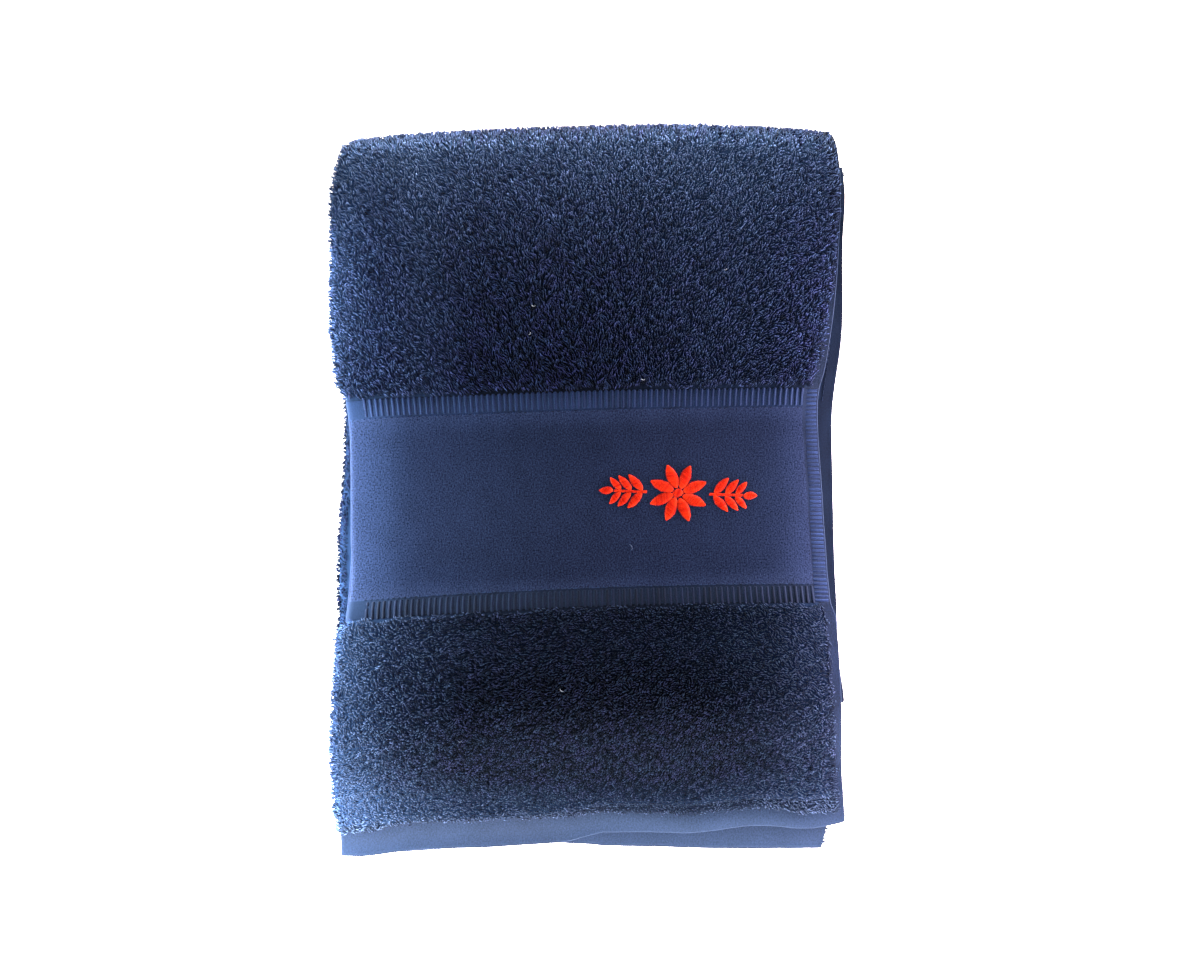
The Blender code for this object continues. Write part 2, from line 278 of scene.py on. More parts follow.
def clothAt(x, y):
    # along and across of a place on the front, seen from above, in the part's own x and y
    x, y = x + folds["middleX"], y + folds["middleY"]
    lean = x / folds["halfSpan"]
    along = np.interp(y, path["run"], path["length"])
    for _ in range(4):
        skewLeft, skewRight = outline(along)[3:]
        level = y - skewLeft * (lean * lean - lean) / 2 - skewRight * (lean * lean + lean) / 2
        along = np.interp(level, path["run"], path["length"])
    left, rightOuter = outline(along)[:2]
    foldX = left + spacing(along, left) + thickness(along, woven["terryThick"]) / 2
    share = (x - foldX) / (rightOuter - foldX)
    return along, -folds["turnHalf"] - share * (woven["halfWidth"] - folds["turnHalf"])


noiseWaves = {"count": 8, "scale": (1.3, 2.6), "total": 2.4}  # scale is their length over the size


def softNoise(x, y, size, seed):
    # an uneven field with patches of about that size, mostly between -1 and 1
    rng, count = np.random.default_rng(seed), noiseWaves["count"]
    total = np.zeros_like(x)
    for heading, phase, scale in zip(rng.uniform(0, math.tau, count), rng.uniform(0, math.tau, count),
                                     rng.uniform(*noiseWaves["scale"], count)):
        total += np.sin((x * math.cos(heading) + y * math.sin(heading)) * math.tau / (size * scale) + phase)
    return total / noiseWaves["total"]


def linear(hexColour):
    # sRGB hex to the linear colour that the shaders take
    parts = [int(hexColour[i:i + 2], 16) / 255 for i in (1, 3, 5)]
    return [p / 12.92 if p <= 0.04045 else ((p + 0.055) / 1.055) ** 2.4 for p in parts] + [1.0]


def addNode(owner, kind, settings=None, inputs=None):
    # one node with its settings, values and links
    node = owner.node_tree.nodes.new(kind)
    for name, value in (settings or {}).items():
        setattr(node, name, value)
    for socket, value in (inputs or {}).items():
        if isinstance(value, bpy.types.NodeSocket):
            owner.node_tree.links.new(value, node.inputs[socket])
        else:
            node.inputs[socket].default_value = value
    return node


def mixed(owner, share, first, second, way="MIX"):
    # a colour between two others
    return addNode(owner, "ShaderNodeMix", {"data_type": "RGBA", "blend_type": way},
                   {0: share, 6: first, 7: second}).outputs[2]


def averaged(owner, share, first, second):
    # a number between two others
    return addNode(owner, "ShaderNodeMix", {"data_type": "FLOAT"}, {0: share, 2: first, 3: second}).outputs[0]


def remapped(owner, value, span, low=0.0, high=1.0):
    # from low to high as the value crosses its span
    return addNode(owner, "ShaderNodeMapRange", {},
                   {"Value": value, "From Min": span[0], "From Max": span[1],
                    "To Min": low, "To Max": high}).outputs["Result"]


def noise(owner, place, size, detail, roughness=0.5):
    # uneven patches of that size in mm
    return addNode(owner, "ShaderNodeTexNoise", {},
                   {"Vector": place, "Scale": 1000 / size, "Detail": detail,
                    "Roughness": roughness}).outputs["Fac"]


def attribute(owner, name):
    return addNode(owner, "ShaderNodeAttribute", {"attribute_name": name}).outputs["Fac"]


def newMaterial(name):
    material = bpy.data.materials.new(name)
    material.use_nodes = True
    return material, material.node_tree.nodes["Principled BSDF"]


bumpDepth = 0.0002  # m


def finishMaterial(material, shader, colour, height, look):
    # its colour, its bumps and how it takes light
    bump = addNode(material, "ShaderNodeBump", {},
                   {"Height": height, "Strength": look["bump"], "Distance": bumpDepth})
    material.node_tree.links.new(colour, shader.inputs["Base Color"])
    material.node_tree.links.new(bump.outputs["Normal"], shader.inputs["Normal"])
    bloom = linear(look["bloom"])
    for socket, value in (("Roughness", look["roughness"]), ("Specular IOR Level", look["gloss"]),
                          ("Specular Tint", bloom), ("Sheen Weight", look["sheen"]),
                          ("Sheen Roughness", look["sheenSpread"]), ("Sheen Tint", bloom)):
        shader.inputs[socket].default_value = value
    return material


# What the yarns are made of and how they take light. deep and light are the shades from one
# thread to the next, tint is the light shade in patches and the last colour is painted light, the
# paler shade a yarn takes where side light falls at the edges and folds, foot is the painted shade
# on a yarn where it leaves the cloth, and fibre is in mm, drawn a few times coarser than real
# fibres so that it shows.
terryYarn = {"foot": 0.06, "fibre": 0.45, "roughness": 0.85, "gloss": 0.05, "sheen": 0.05,
             "sheenSpread": 0.45, "bump": 0.5, "bloom": "#7c98cc"}
yarnLooks = {
    # reactive dyed navy: dull, with a bluish bloom where light grazes it
    "pile": {**terryYarn, "finish": "terry loops, ring-spun cotton",
             "deep": "#03050b", "light": "#2c3c66", "tint": "#31376a", "paintedLitColour": "#5b76a7"},
    # the same loops on the flap, a greyer navy
    "flapPile": {**terryYarn, "finish": "greyed terry loops, ring-spun cotton",
                 "deep": "#03050a", "light": "#2c3b57", "tint": "#30375a", "paintedLitColour": "#5d759f"},
    # the woven ribs: smoother and a little paler
    "rib": {**terryYarn, "finish": "woven ribs, combed cotton",
            "deep": "#080d18", "light": "#192545", "tint": "#172544", "paintedLitColour": "#24345a", "foot": 0.85,
            "fibre": 0.35, "roughness": 0.75, "gloss": 0.08, "sheen": 0.03, "bloom": "#7fa6e6"},
    # paler than the rest, a painted highlight on the rounded edges and turns
    "edge": {**terryYarn, "finish": "hem edges and sewing thread, cotton",
             "deep": "#101826", "light": "#2a3854", "tint": "#2a3854", "paintedLitColour": "#2a3854", "foot": 0.5,
             "fibre": 0.4, "roughness": 0.75, "gloss": 0.1, "sheen": 0.06, "bloom": "#86aae0"},
    # the embroidery: saturated and silky
    "satin": {**terryYarn, "finish": "satin stitch, rayon",
              "deep": "#b0100a", "light": "#f8441c", "tint": "#f23a1a", "paintedLitColour": "#f8441c", "foot": 0.25,
              "fibre": 0.3, "roughness": 0.4, "gloss": 0.35, "sheen": 0.0, "bloom": "#ff7a4a"},
    # stray fibres that lie on the pile
    "lint": {**terryYarn, "finish": "lint, undyed cotton",
             "deep": "#4a5876", "light": "#aab4c2", "tint": "#a4b0c4", "paintedLitColour": "#aab4c2", "foot": 0.8,
             "fibre": 0.5, "roughness": 0.8, "gloss": 0.2, "sheen": 0.0, "bloom": "#ffffff"},
}
yarnShading = {
    "tintPatch": 5.0,  # mm, of the patches that take the tint
    "tintSpan": (0.42, 0.58),
    "paintedLitFoot": 0.48,  # how dark the painted shade at a yarn's foot is under full painted light
    "footSpan": (0.0, 0.55),  # where the painted shade at a yarn's foot lightens, from its foot to its tip
    "fibreSpan": (0.3, 0.7), "fibreShade": (0.6, 1.4),
}


def yarnMaterial(look):
    material, shader = newMaterial(look["finish"])
    tone, rise, paintedLight = (attribute(material, name) for name in ("tone", "rise", "paintedLight"))
    place = addNode(material, "ShaderNodeTexCoord").outputs["Object"]
    patches = noise(material, place, yarnShading["tintPatch"], 2.0)
    tinted = remapped(material, patches, yarnShading["tintSpan"])
    light = mixed(material, tinted, linear(look["light"]), linear(look["tint"]))
    # painted light: paler where side light falls at the edges and folds
    paled = mixed(material, paintedLight, light, linear(look["paintedLitColour"]))
    shade = mixed(material, tone, linear(look["deep"]), paled)
    # the painted shade at each yarn's foot, lighter under painted light
    paintedLitFoot = max(look["foot"], yarnShading["paintedLitFoot"])
    footTone = remapped(material, paintedLight, (0.0, 1.0), look["foot"], paintedLitFoot)
    foot = remapped(material, rise, yarnShading["footSpan"], footTone)
    fibres = noise(material, place, look["fibre"], 2.0)
    streaks = remapped(material, fibres, yarnShading["fibreSpan"], *yarnShading["fibreShade"])
    dark = addNode(material, "ShaderNodeMath", {"operation": "MULTIPLY"}, {0: foot, 1: streaks})
    colour = mixed(material, 1.0, shade, dark.outputs[0], "MULTIPLY")
    return finishMaterial(material, shader, colour, fibres, look)


# The flat weaves: the brushed band, its ribbed borders and columns, the plain hems and the ground
# below the pile, where the border nearer the hem, the inner selvedges and the ground are darkened
# as painted shade. lines is how much the threads stand out, patch how much of the mottle is in
# wide patches and speck how much the single paler fibres show.
plainWeave = {"lines": 0.0, "patch": 0.3, "speck": 0.0, "sheen": 0.02, "sheenSpread": 0.5, "gloss": 0.05,
              "roughness": 0.8, "bump": 0.3, "bloom": "#a6bcd8"}
weaveLooks = {
    "band": {**plainWeave, "finish": "band weave, brushed cotton", "base": "#080d1a", "fleck": "#232f4e",
             "patch": 0.07, "speck": 0.35, "bump": 0.35},
    "border": {**plainWeave, "finish": "border weave, combed cotton", "base": "#0b1322", "fleck": "#16233f"},
    "lowBorder": {**plainWeave, "finish": "border weave in painted shade, combed cotton", "base": "#0a111e",
                  "fleck": "#121c2f", "sheen": 0.01, "gloss": 0.04},
    "column": {**plainWeave, "finish": "selvedge weave, combed cotton",
               "base": "#0e1524", "fleck": "#1a253c"},
    "inside": {**plainWeave, "finish": "inner selvedge weave in painted shade, combed cotton", "base": "#080d18",
               "fleck": "#0f1828", "sheen": 0.0, "gloss": 0.03},
    "hem": {**plainWeave, "finish": "hem weave, plain cotton", "base": "#0a101a", "fleck": "#182237",
            "patch": 0.1, "speck": 0.1, "sheen": 0.03, "bump": 0.5},
    "sideHem": {**plainWeave, "finish": "side hem weave, plain cotton", "base": "#090f1b", "fleck": "#162138",
                "patch": 0.2, "speck": 0.1, "sheen": 0.03, "bump": 0.5},
    "ground": {**plainWeave, "finish": "terry ground weave in painted shade, ring-spun cotton", "base": "#04060c",
               "fleck": "#070b14", "lines": 0.5, "sheen": 0.0, "gloss": 0.02, "bump": 0.6},
}
weaveShading = {
    "pitch": 1.4,  # mm between threads, a few times the real one so that it shows
    "weft": 0.4,  # how much of the relief is across
    "nap": 0.8,  # mm, of the brushed surface
    "fibre": 0.64, "patch": 14.0, "mottleSpan": (0.36, 0.64), "speckSpan": (0.78, 0.86),
    "speck": "#4a5c84",  # single paler fibres
    # the paler colour that painted light gives a weave
    "paintedLitColour": "#263a5c",
}


def flatWeave(look):
    material, shader = newMaterial(look["finish"])
    uv = addNode(material, "ShaderNodeUVMap", {"uv_map": "cloth"}).outputs["UV"]
    # the wave texture counts in twentieths of a unit, and each of its waves is two threads
    scale = 50 * math.pi / weaveShading["pitch"]
    warp, weft = (addNode(material, "ShaderNodeTexWave", {"bands_direction": direction},
                          {"Vector": uv, "Scale": scale, "Distortion": 1.5, "Detail": 1.0,
                           "Detail Scale": 2.0}).outputs["Fac"] for direction in "YX")
    threads = addNode(material, "ShaderNodeMath", {"operation": "MULTIPLY_ADD"},
                      {0: weft, 1: weaveShading["weft"], 2: warp})
    grain = noise(material, uv, weaveShading["nap"], 3.0, roughness=0.7)
    height = averaged(material, look["lines"], grain, threads.outputs[0])
    patches = noise(material, uv, weaveShading["patch"], 1.0)
    mottle = averaged(material, look["patch"], height, patches)
    flecked = remapped(material, mottle, weaveShading["mottleSpan"])
    plain = mixed(material, flecked, linear(look["base"]), linear(look["fleck"]))
    # painted light: a painted highlight on the end hems' edges and the band's borders at the left fold, and
    # on the ground as on the pile
    colour = mixed(material, attribute(material, "paintedLight"), plain, linear(weaveShading["paintedLitColour"]))
    fibres = noise(material, uv, weaveShading["fibre"], 0.0)
    specks = remapped(material, fibres, weaveShading["speckSpan"], 0.0, look["speck"])
    specked = mixed(material, specks, colour, linear(weaveShading["speck"]))
    return finishMaterial(material, shader, specked, height, look)


def stops(*spans):
    # places in rows: spans of start, end and about what step
    places = [np.linspace(start, end, math.ceil((end - start) / step), endpoint=False)
              for start, end, step in spans]
    return np.concatenate(places + [[spans[-1][1]]])


# How finely the cloth is divided, in mm.
sheetSteps = {"terry": 5.0, "band": 2.4, "edge": 1.2, "hem": 2.0, "upperFold": 1.6, "lowerFold": 1.2,
              "back": 9.0, "across": 8.0, "turn": 1.0}
fineReach = {"change": 2.0, "border": 10.0}  # mm, how far the fine rows go


def rowsAlong():
    edge, terry, band = sheetSteps["edge"], sheetSteps["terry"], sheetSteps["band"]
    hem, start, end, total = woven["endHem"], woven["bandStart"], woven["bandEnd"], path["total"]
    near, far = fineReach["change"], fineReach["border"]
    # the same rows at both ends, finer where the cloth changes
    rows = [(0, hem - near, sheetSteps["hem"]), (hem - near, hem + near, edge),
            (hem + near, start - near, terry), (start - near, start + far, edge),
            (start + far, end - far, band), (end - far, end + near, edge)]
    tucked = [(total - high, total - low, step) for low, high, step in reversed(rows)]
    folded = [(end + near, path["upperStart"], terry),
              (path["upperStart"], path["upperEnd"], sheetSteps["upperFold"]),
              (path["upperEnd"], path["lowerStart"], sheetSteps["back"]),
              (path["lowerStart"], path["lowerEnd"], sheetSteps["lowerFold"]),
              (path["lowerEnd"], total - end - near, terry)]
    return stops(*rows, *folded, *tucked)


def rowsAcross():
    half, turnHalf, side = woven["halfWidth"], folds["turnHalf"], woven["sideHem"] + fineReach["change"]
    edge, across = sheetSteps["edge"], sheetSteps["across"]
    return stops((-half, side - half, edge), (side - half, -turnHalf, across),
                 (-turnHalf, turnHalf, sheetSteps["turn"]), (turnHalf, half - side, across),
                 (half - side, half, edge))


def finishMesh(mesh, name):
    piece = bpy.data.objects.new(name, mesh)
    bpy.context.collection.objects.link(piece)
    return piece


hemUnder = 1.5  # mm of the hem that goes on below the pile
sideStep = 0.5  # mm of the ground that is as thick as the side hem
sharpAngle = 50  # degrees


def clothPaintedLight(along, across, x, y):
    # painted light on the weave, from 0 to 1: a painted highlight on the edges of the end hems and on
    # the band's borders at the left fold, and on the ground the same as on the pile
    end = fromEnd(along)
    hemShare, inBand = end / woven["endHem"], bandDepth(end)
    onGround = (inBand < 0) & (np.abs(across) < woven["halfWidth"] - woven["sideHem"])
    onBorder = (inBand > 0) & (inBand < woven["border"])
    return np.select([hemShare < 1, onGround, onBorder],
                     [paintedLighting["hems"] * (1 - hemShare), paintedLightAt(x, y), borderPaintedLight(across)], 0.0)


def weaveAt(along, across):
    # number of the weave at each place
    end = fromEnd(along)
    inBand = bandDepth(end)
    onBorder = (inBand > 0) & (inBand < woven["border"])
    onSide = np.abs(across) > woven["halfWidth"] - woven["sideHem"] - hemUnder
    hidden = (across > 0) | (along > path["lowerStart"])
    middle = (woven["bandStart"] + woven["bandEnd"]) / 2
    weaves = {  # the first that is true
        # the inner selvedges, dark as painted shade below the front's edge
        "inside": onSide & hidden & (end > woven["endHem"] * 2),
        "sideHem": onSide & (end < woven["bandStart"]) & (end > woven["endHem"]),
        "column": onSide & (inBand > 0),
        "hem": onSide | (end < woven["endHem"] + hemUnder),
        # the border nearer the hem, darker as painted shade
        "lowBorder": onBorder & (end < middle),
        "border": onBorder,
        "band": inBand > 0,
    }
    # the rest is the ground below the pile, dark as painted shade
    order = list(weaveLooks)
    return np.select(list(weaves.values()), [order.index(name) for name in weaves], order.index("ground"))


def makeCloth():
    alongStops, acrossStops = rowsAlong(), rowsAcross()
    # the cloth lies flat as a thin slab first
    bm = bmesh.new()
    bmesh.ops.create_grid(bm, x_segments=len(alongStops) - 1, y_segments=len(acrossStops) - 1, size=1.0)
    bmesh.ops.solidify(bm, geom=bm.faces[:], thickness=1.0)
    mesh = bpy.data.meshes.new("cloth")
    bm.to_mesh(mesh)
    bm.free()
    flat = np.empty(len(mesh.vertices) * 3)
    mesh.vertices.foreach_get("co", flat)
    flat = flat.reshape(-1, 3)
    along = np.interp(flat[:, 0], np.linspace(-1, 1, len(alongStops)), alongStops)
    across = np.interp(flat[:, 1], np.linspace(-1, 1, len(acrossStops)), acrossStops)
    face = np.where(flat[:, 2] > flat[:, 2].mean(), 1.0, -1.0)
    onSide = np.abs(across) > woven["halfWidth"] - woven["sideHem"] - sideStep
    thick = np.where(onSide, woven["hemThick"], thickness(along, woven["groundThick"]))
    folded = foldedPoint(along, across, face * thick / 2)
    mesh.vertices.foreach_set("co", folded.ravel())
    # painted light on the weave, kept on its points
    paintedLight = clothPaintedLight(along, across, *folded.T[:2] * 1000)
    mesh.attributes.new("paintedLight", "FLOAT", "POINT").data.foreach_set("value", paintedLight.astype(np.float32))
    corner = np.empty(len(mesh.loops), dtype=int)
    mesh.loops.foreach_get("vertex_index", corner)
    uv = mesh.uv_layers.new(name="cloth").uv
    uv.foreach_set("vector", (np.stack([along[corner], across[corner]], -1) / 1000).ravel())
    # each face takes the weave of its place
    first = np.empty(len(mesh.polygons), dtype=int)
    mesh.polygons.foreach_get("loop_start", first)
    corners = corner[first[:, None] + np.arange(4)]
    mesh.polygons.foreach_set("material_index", weaveAt(along[corners].mean(1), across[corners].mean(1)))
    for look in weaveLooks.values():
        mesh.materials.append(flatWeave(look))
    mesh.shade_smooth()
    mesh.set_sharp_from_angle(angle=math.radians(sharpAngle))
    print("cloth:", len(mesh.polygons) * 2, "triangles")
    return finishMesh(mesh, "towelCloth")


def threadTemplate(sides, spans):
    # a bar of unit rings, drawn to a point at its far end
    bm = bmesh.new()
    bmesh.ops.create_circle(bm, cap_ends=True, segments=sides, radius=1.0)
    top = bm.faces[:]
    for span in range(spans):
        grown = bmesh.ops.extrude_face_region(bm, geom=top)["geom"]
        if span:
            bmesh.ops.delete(bm, geom=top, context="FACES_ONLY")  # leaves no cap inside
        newVerts = [v for v in grown if isinstance(v, bmesh.types.BMVert)]
        bmesh.ops.translate(bm, verts=newVerts, vec=(0, 0, 1))
        top = [f for f in grown if isinstance(f, bmesh.types.BMFace)]
    bmesh.ops.pointmerge(bm, verts=newVerts, merge_co=(0, 0, spans))
    bmesh.ops.triangulate(bm, faces=bm.faces[:])
    bmesh.ops.recalc_face_normals(bm, faces=bm.faces[:])
    points = np.array([v.co for v in bm.verts])
    faces = np.array([[v.index for v in f.verts] for f in bm.faces])
    bm.free()
    return points, faces


def layThreads(name, look, lines, radius, sides, tone, flat=1.0, standing=False,
               paintedLight=0.0):
    # one mesh of many yarns, each along its own line of points in along, across and depth; radius
    # is for each point, and flat is how much lower than wide a yarn is pressed
    count, places = lines.shape[:2]
    template, faces = threadTemplate(sides, places - 1)
    ring = np.rint(template[:, 2]).astype(int)
    ahead = np.gradient(lines, axis=1)
    side = np.stack([-ahead[..., 1], ahead[..., 0], np.zeros((count, places))], -1)
    side /= np.linalg.norm(side, axis=-1, keepdims=True)
    up = np.cross(ahead, side)
    up /= np.linalg.norm(up, axis=-1, keepdims=True)
    radius = np.broadcast_to(radius, (count, places))[:, ring, None]
    outwards = side[:, ring] * template[:, :1] + flat * up[:, ring] * template[:, 1:2]
    points = foldedPoint(*np.moveaxis(lines[:, ring] + radius * outwards, -1, 0))
    points[..., 2] = np.maximum(points[..., 2], floorGap)
    # what the painted shade at the foot follows: the height up a standing yarn, and the underside of a lying
    # one
    rise = ring / ring.max() if standing else (1 + template[:, 1]) / 2
    allFaces = (faces[None] + np.arange(count)[:, None, None] * len(ring)).reshape(-1, 3)
    mesh = bpy.data.meshes.new(name)
    mesh.from_pydata(points.reshape(-1, 3), [], allFaces)
    paintedLight = np.broadcast_to(paintedLight, count)
    for key, values in (("tone", np.repeat(tone, len(ring))), ("rise", np.tile(rise, count)),
                        ("paintedLight", np.repeat(paintedLight, len(ring)))):
        layer = mesh.attributes.new(key, "FLOAT", "POINT")
        layer.data.foreach_set("value", values.astype(np.float32))
    mesh.shade_smooth()
    mesh.update()
    mesh.materials.append(yarns[look])
    print(name + ":", count, "yarns,", len(mesh.polygons), "triangles")
    return finishMesh(mesh, name)


# Which way the pile lies, in degrees from +X towards +Y, over x in mm, and how long its loops are.
nap = {
    "x": (-120, -60, 0, 30, 60, 90, 125),
    "upper": (128, 120, 102, 80, 62, 45, 35),
    "lower": (150, 165, 178, 176, 168, 158, 148),
    "upperLength": (1.2, 1.05, 1.0, 1.0, 1.0, 1.1, 1.3),
    "lowerLength": (1.1, 0.85, 0.75, 0.65, 0.65, 1.0, 1.3),
    "lowerY": -60.0,
    "upperY": 50.0,
    "swirl": 11.0,  # patches where it lies another way
    "swirlSize": 22.0,
    "tuft": 27.0,  # loops that lean together
    "tuftSize": 4.6,
    "scatter": 15.0,  # from loop to loop
    "stray": 0.03,  # the share of loops that stand higher
    "strayHeight": 1.35,
}

# How much the pile leaves bare of the side hem, along the cloth, and of the end hem, across it.
bareSide = {"along": (0, 20, 60, 100, 118, 222, 245, 300, 345, 640, 918),
            "width": (1.6, 2.4, 3.2, 4.6, 5.2, 5.6, 4.0, 1.9, 0.9, 1.6, 3.0)}
bareEnd = {"across": (-250, -215, -185, -140, -105, -45, -4),
           "width": (6.5, 8.5, 9.5, 10.2, 13.2, 13.5, 11.0)}

# Painted light on the pile, from 0 to 1: painted highlights where side light falls at the edges
# and folds, over x, on the upper and the lower part, and what that becomes towards the ends, over
# y, where values below 0 are painted shade.
paintedLighting = {
    "x": (-122, -106, -98, -82, -58, -20, 15, 30, 55, 80, 98, 122),
    "upper": (0.60, 0.38, 0.39, 0.49, 0.19, 0.16, 0.20, 0.26, 0.34, 0.35, 0.25, 0.22),
    "lower": (0.86, 0.56, 0.38, 0.26, 0.05, 0.03, 0.02, 0.0, 0.05, 0.17, 0.28, 0.32),
    "y": (-175, -158, -153, -147, -137, -113, -90, -75, -60, 30, 60, 105, 129, 153, 165, 170, 176),
    "ends": (0.27, 0.32, 0.21, 0.03, -0.14, -0.08, 0.0, 0.08, 0.04,
             -0.16, -0.15, -0.07, 0.05, 0.26, 0.40, 0.17, -0.05),
    "hems": 0.12,  # a painted highlight at the edges of the end hems
    "borders": 0.15,  # a painted highlight on the band's borders at the left fold
    "bordersReach": 34.0,  # mm from there to where that painted highlight ends
}


def borderPaintedLight(across):
    # a painted highlight on the band's borders, fading away from the left fold
    return paintedLighting["borders"] * ramp(1 + (across + folds["turnHalf"]) / paintedLighting["bordersReach"])


def overPile(x, y, places, lower, upper):
    # a value that changes over x, and from the lower to the upper part
    lower, upper = np.interp(x, places, lower), np.interp(x, places, upper)
    return lower + (upper - lower) * ramp((y - nap["lowerY"]) / (nap["upperY"] - nap["lowerY"]))


def paintedLightAt(x, y):
    # painted light on the pile
    faint = np.interp(y, paintedLighting["y"], paintedLighting["ends"])
    return np.clip(faint + overPile(x, y, paintedLighting["x"], paintedLighting["lower"], paintedLighting["upper"]), 0.0, 1.0)


def napHeading(x, y, rng):
    heading = overPile(x, y, nap["x"], nap["lower"], nap["upper"])
    heading = heading + nap["swirl"] * softNoise(x, y, nap["swirlSize"], 3)
    heading = heading + nap["tuft"] * softNoise(x, y, nap["tuftSize"], 5)
    return np.radians(heading + rng.normal(0, nap["scatter"], x.shape))


# A loop of the pile, in mm: how far it leans, how high it stands and how thick its yarn is, from
# its foot to its tip, and how its height varies. Where the pile hardly shows, its loops are plainer.
loopShapes = {
    "fine": {"lean": (0.0, 0.75, 1.6), "height": (0.0, 1.4, 1.1), "yarn": (0.22, 0.29, 0.0),
             "uneven": (0.75, 1.2)},
    "fold": {"lean": (0.0, 0.7, 1.4), "height": (0.0, 1.4, 1.2), "yarn": (0.24, 0.28, 0.0),
             "uneven": (0.6, 1.4)},
    "spike": {"lean": (0.0, 0.5, 1.3), "height": (0.0, 1.3, 2.1), "yarn": (0.26, 0.24, 0.0),
              "uneven": (0.45, 1.5)},
    "plain": {"lean": (0.0, 0.8, 1.7), "height": (0.0, 1.2, 1.1), "yarn": (0.5, 0.6, 0.0),
              "uneven": (0.75, 1.2)},
}
loopVariety = {"place": 0.42, "length": (0.75, 1.25), "yarn": (0.85, 1.15)}  # place is a share of the gap

# The edges of the pile, in mm.
pileEdges = {
    "overHem": 1.4,  # how far it spreads over the hems
    "plainBare": 7.5,  # how much more of the side hem the plain loops leave bare
    "margin": 0.6,  # between the loops' feet and the band
    "wander": 0.8,  # of that margin
    "wanderSize": 6.0, "scatter": 0.4,
}

# How light a loop is, from 0 to 1: the least, what patches and the loop itself add, how fast
# lighter loops get rarer, how far loops under painted light come towards one tone, and the part
# left at the back, a painted shade on the layers below.
loopTones = {
    "least": 0.10, "wide": 0.05, "wideSize": 12.0, "close": 0.18, "closeSize": 2.6, "single": 0.80,
    "rarer": 1.6, "paintedLitTone": 0.46, "paintedLitPull": 0.65, "back": 0.6,
}

# Where the pile stands: along, across, which face, loops to a square cm, their shape and the seed.
pileSide = woven["halfWidth"] - 0.8  # the outermost feet
turnSide = folds["turnHalf"] + 0.5  # the feet that stand round the lengthwise fold
strip = pileSide - 13.0  # what can be seen of the layers below
flap, upper, whole = (0, woven["bandStart"]), (woven["bandEnd"], path["upperStart"]), (0, path["total"])
leftPart, rightPart = (-pileSide / 2, -turnSide), (-pileSide, -pileSide / 2)
bothParts = (-pileSide, -turnSide)
backStart = path["upperEnd"] + 6  # where the loops of the back begin, out of sight
pileRegions = {
    "pileLowerLeft": (flap, leftPart, 1, 92, "fine", 11),
    "pileLowerRight": (flap, rightPart, 1, 92, "fine", 12),
    "pileUpperLeft": (upper, leftPart, 1, 92, "fine", 13),
    "pileUpperRight": (upper, rightPart, 1, 92, "fine", 14),
    "pileUpperFold": ((path["upperStart"], backStart), bothParts, 1, 92, "fold", 15),
    "pileLeftSides": (whole, (-turnSide, turnSide), 1, 92, "spike", 16),
    "pileUnderside": ((backStart, path["lowerEnd"]), bothParts, 1, 12, "plain", 17),
    "pileOuterEdge": (whole, (strip, pileSide), 1, 16, "plain", 18),
    "pileUnderEdge": (whole, (-pileSide, -strip), -1, 16, "plain", 19),
    "pileInnerEdge": (whole, (strip, pileSide), -1, 16, "plain", 20),
    "pileTuckedEdge": ((path["lowerEnd"], path["total"]), (-pileSide, -strip), 1, 16, "plain", 21),
}


def leanOver(along, across, lean, heading, depth):
    # the lines of yarns that lean away from their feet
    return np.stack([along[:, None] + lean * np.sin(heading)[:, None],
                     across[:, None] - lean * np.cos(heading)[:, None], depth], -1)


def toneAt(x, y, rng):
    return (loopTones["least"] + loopTones["wide"] * softNoise(x, y, loopTones["wideSize"], 21)
            + loopTones["close"] * softNoise(x, y, loopTones["closeSize"], 22)
            + loopTones["single"] * rng.random(len(x)) ** loopTones["rarer"])


